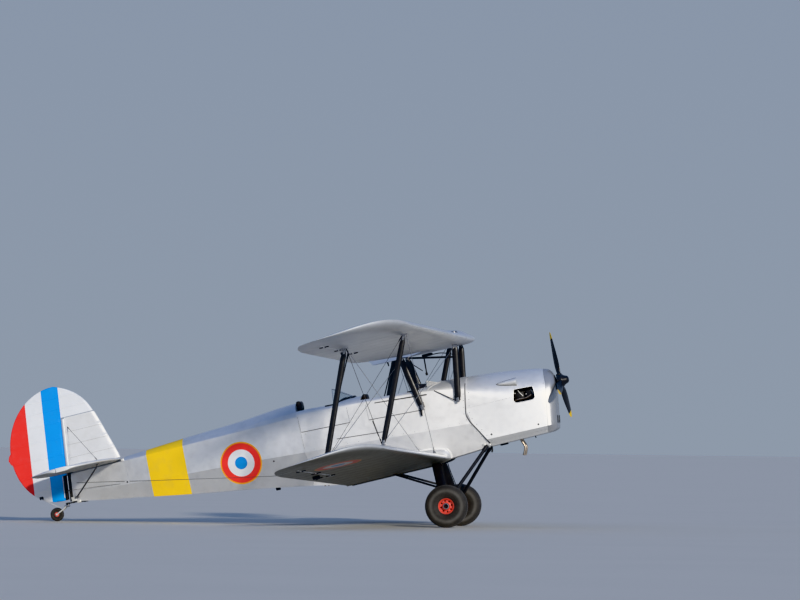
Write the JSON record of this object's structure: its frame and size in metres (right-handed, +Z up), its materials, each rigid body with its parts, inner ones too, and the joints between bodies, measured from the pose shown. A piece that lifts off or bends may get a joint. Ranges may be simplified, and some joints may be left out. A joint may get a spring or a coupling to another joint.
{
  "type": "two-seat training biplane",
  "caption": "Silver two-seat open-cockpit training biplane on a fixed tailwheel undercarriage, with turning wheels and propeller and working control surfaces.",
  "frame": {"origin": "on the ground, under the middle of the parked aircraft's box", "axes": "+X forward to the nose, +Y to the left wing tip, +Z up from the ground"},
  "size_m": [6.9612, 8.3716, 2.4757],
  "materials": {
    "fuselage_fabric": "satin",
    "fuselage_panel": "satin",
    "cowl_metal": "satin",
    "wing_fabric": "satin",
    "tail_fabric": "satin",
    "strut_black": "satin",
    "panel_black": "matte",
    "propeller_black": "satin",
    "leather": "matte",
    "engine": "matte",
    "clear": "gloss",
    "tyre": "matte",
    "rim_red": "satin",
    "steel_wire": "satin"
  },
  "bodies": {
    "airframe": {"rear_fuselage": "fuselage_fabric", "cockpit_side_left": "fuselage_panel", "cockpit_side_right": "fuselage_panel", "cockpit_floor": "fuselage_panel", "cockpit_decks": "fuselage_panel", "seat_front": "leather", "seat_rear": "leather", "headrest_front": "leather", "headrest_rear": "leather", "instrument_panel_front": "panel_black", "instrument_panel_rear": "panel_black", "windshield_front": "clear", "windshield_rear": "clear", "cowl_top": "cowl_metal", "cowl_side_left": "cowl_metal", "cowl_side_right": "cowl_metal", "cowl_bottom": "cowl_metal", "nose_bowl": "cowl_metal", "engine_block": "engine", "upper_wing_centre": "wing_fabric", "upper_wing_right": "wing_fabric", "upper_wing_left": "wing_fabric", "lower_wing_right": "wing_fabric", "lower_wing_left": "wing_fabric", "wing_strut_front_right": "strut_black", "wing_strut_front_left": "strut_black", "wing_strut_rear_right": "strut_black", "wing_strut_rear_left": "strut_black", "cabane_strut_front_right": "strut_black", "cabane_strut_front_left": "strut_black", "cabane_strut_rear_right": "strut_black", "cabane_strut_rear_left": "strut_black", "gear_right": "strut_black", "gear_left": "strut_black", "fin": "tail_fabric", "tailplane": "tail_fabric", "tail_strut_right": "strut_black", "tail_strut_left": "strut_black", "tailwheel_bracket": "strut_black", "flying_wire_right": "steel_wire", "flying_wire_left": "steel_wire", "landing_wire_right": "steel_wire", "landing_wire_left": "steel_wire"},
    "propeller": {"propeller_hub": "propeller_black", "propeller_blade_1": "propeller_black", "propeller_blade_2": "propeller_black", "propeller_blade_3": "propeller_black"},
    "main_wheel_right": {"tyre_right": "tyre", "wheel_rim_right": "rim_red"},
    "main_wheel_left": {"tyre_left": "tyre", "wheel_rim_left": "rim_red"},
    "rudder": {"rudder": "tail_fabric"},
    "elevator": {"elevator": "tail_fabric"},
    "aileron_upper_right": {"upper_aileron_right": "wing_fabric"},
    "aileron_upper_left": {"upper_aileron_left": "wing_fabric"},
    "aileron_lower_right": {"lower_aileron_right": "wing_fabric"},
    "aileron_lower_left": {"lower_aileron_left": "wing_fabric"},
    "tail_fork": {"tailwheel_fork": "strut_black"},
    "tail_wheel": {"tailwheel": "tyre"}
  },
  "joints": [
    {"name": "propeller_spin", "type": "hinge", "parent": "airframe", "child": "propeller", "pos_m": [3.36643, 0, 1.81553], "axis": [0.9694, 0, 0.2453], "continuous": true},
    {"name": "main_wheel_right_spin", "type": "hinge", "parent": "airframe", "child": "main_wheel_right", "pos_m": [2.06578, -0.9, 0.262], "axis": [0, 1, 0], "continuous": true},
    {"name": "main_wheel_left_spin", "type": "hinge", "parent": "airframe", "child": "main_wheel_left", "pos_m": [2.06578, 0.9, 0.262], "axis": [0, 1, 0], "continuous": true},
    {"name": "rudder_turn", "type": "hinge", "parent": "airframe", "child": "rudder", "pos_m": [-2.76839, 0, 0.65928], "axis": [-0.1251, 0, 0.9921], "range_deg": [-25, 25]},
    {"name": "tailwheel_steer", "type": "hinge", "parent": "airframe", "child": "tail_fork", "pos_m": [-2.74558, 0, 0.23079], "axis": [-0.2453, 0, 0.9694], "range_deg": [-25, 25]},
    {"name": "tailwheel_spin", "type": "hinge", "parent": "tail_fork", "child": "tail_wheel", "pos_m": [-2.87622, 0, 0.085], "axis": [0, 1, 0], "continuous": true},
    {"name": "elevator_turn", "type": "hinge", "parent": "airframe", "child": "elevator", "pos_m": [-2.69338, 0, 0.63597], "axis": [0, 1, 0], "range_deg": [-22, 28]},
    {"name": "aileron_upper_right_turn", "type": "hinge", "parent": "airframe", "child": "aileron_upper_right", "pos_m": [1.05715, -2.05, 2.13097], "axis": [0.1382, 0.9897, -0.0364], "range_deg": [-22, 22]},
    {"name": "aileron_upper_left_turn", "type": "hinge", "parent": "airframe", "child": "aileron_upper_left", "pos_m": [1.05715, 2.05, 2.13097], "axis": [-0.1382, 0.9897, 0.0364], "range_deg": [-22, 22]},
    {"name": "aileron_lower_right_turn", "type": "hinge", "parent": "airframe", "child": "aileron_lower_right", "pos_m": [0.80132, -2.05, 0.66085], "axis": [0.1382, 0.9897, -0.0364], "range_deg": [-22, 22]},
    {"name": "aileron_lower_left_turn", "type": "hinge", "parent": "airframe", "child": "aileron_lower_left", "pos_m": [0.80132, 2.05, 0.66085], "axis": [-0.1382, 0.9897, 0.0364], "range_deg": [-22, 22]}
  ],
  "couplings": [
    {"joint": "tailwheel_steer", "follows": "rudder_turn", "ratio": 1},
    {"joint": "aileron_upper_left_turn", "follows": "aileron_upper_right_turn", "ratio": -1},
    {"joint": "aileron_lower_right_turn", "follows": "aileron_upper_right_turn", "ratio": 1},
    {"joint": "aileron_lower_left_turn", "follows": "aileron_upper_right_turn", "ratio": -1}
  ]
}
